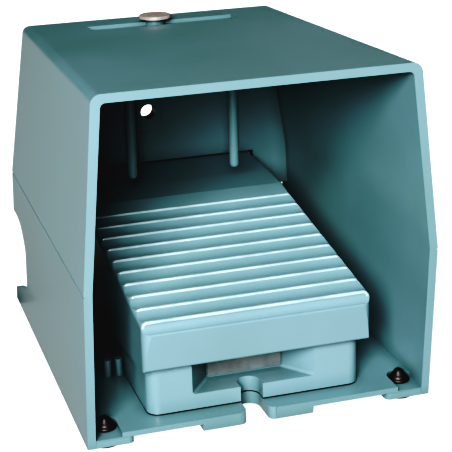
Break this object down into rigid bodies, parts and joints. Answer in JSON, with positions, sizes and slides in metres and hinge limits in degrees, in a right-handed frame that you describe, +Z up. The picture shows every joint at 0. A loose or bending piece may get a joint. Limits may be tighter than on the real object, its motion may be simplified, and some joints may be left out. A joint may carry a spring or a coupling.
{
  "type": "industrial foot switch",
  "caption": "Hooded foot switch: cast hood and floor, ribbed pedal hinged at the rear over a switch housing, rubber feet.",
  "frame": {"origin": "middle of the underside of the four rubber feet, at the centre of the bounding box in X and Y", "axes": "+Z up, +Y from the open front of the hood to its rear wall, +X to the right seen from the open front"},
  "size_m": [0.16, 0.194, 0.1601],
  "materials": {
    "hood_enamel": "gloss",
    "pedal_enamel": "gloss",
    "housing_enamel": "gloss",
    "rubber": "matte",
    "zinc_steel": "satin",
    "spring_steel": "satin",
    "bare_cap": "satin",
    "bush_bronze": "satin",
    "contact_brass": "satin",
    "block_plastic": "matte",
    "carrier_plastic": "matte",
    "gland_plastic": "matte"
  },
  "bodies": {
    "base": {"hood": "hood_enamel", "socket_cap": "bare_cap", "foot_front_left": "rubber", "foot_front_right": "rubber", "foot_rear_left": "rubber", "foot_rear_right": "rubber", "switch_housing": "housing_enamel", "housing_gasket": "rubber", "housing_screws": "zinc_steel", "cover_plate": "zinc_steel", "cover_plate_screws": "zinc_steel", "pivot_shaft": "zinc_steel", "shaft_clip_left": "spring_steel", "shaft_clip_right": "spring_steel", "plunger_boot": "rubber", "plunger_spring": "spring_steel", "return_spring_left": "spring_steel", "return_spring_right": "spring_steel", "travel_buffer_left": "rubber", "travel_buffer_right": "rubber", "rest_buffer_left": "rubber", "rest_buffer_right": "rubber", "contact_block_left": "block_plastic", "contact_block_right": "block_plastic", "fixed_contacts": "contact_brass", "terminal_screws": "zinc_steel", "block_screws": "zinc_steel", "earth_screw": "contact_brass", "earth_clamp": "zinc_steel", "gland_body": "gland_plastic", "gland_seal": "rubber", "gland_nut": "gland_plastic", "entry_ring_left": "rubber", "entry_ring_right": "rubber", "blanking_plug": "gland_plastic"},
    "pedal": {"pedal": "pedal_enamel", "pivot_bush_left": "bush_bronze", "pivot_bush_right": "bush_bronze", "actuator_screw": "zinc_steel", "actuator_nut": "zinc_steel", "actuator_pad": "carrier_plastic"},
    "plunger": {"plunger": "zinc_steel", "contact_carriers": "carrier_plastic", "contact_bridges": "contact_brass"}
  },
  "joints": [
    {"name": "pedal_hinge", "type": "hinge", "parent": "base", "child": "pedal", "pos_m": [0, 0.08245, 0.0617], "axis": [1, 0, 0], "range_deg": [0, 4.5], "stiffness_Nm_per_rad": 12, "springref_deg": -14.32, "deforming": ["return_spring_left", "return_spring_right"]},
    {"name": "plunger_slide", "type": "slide", "parent": "base", "child": "plunger", "axis": [0, 0, -1], "range_m": [0, 0.0053], "stiffness_N_per_m": 400, "springref_m": -0.01, "deforming": ["plunger_boot", "plunger_spring"]}
  ],
  "couplings": [
    {"joint": "plunger_slide", "follows": "pedal_hinge", "m_per_rad": 0.067}
  ]
}
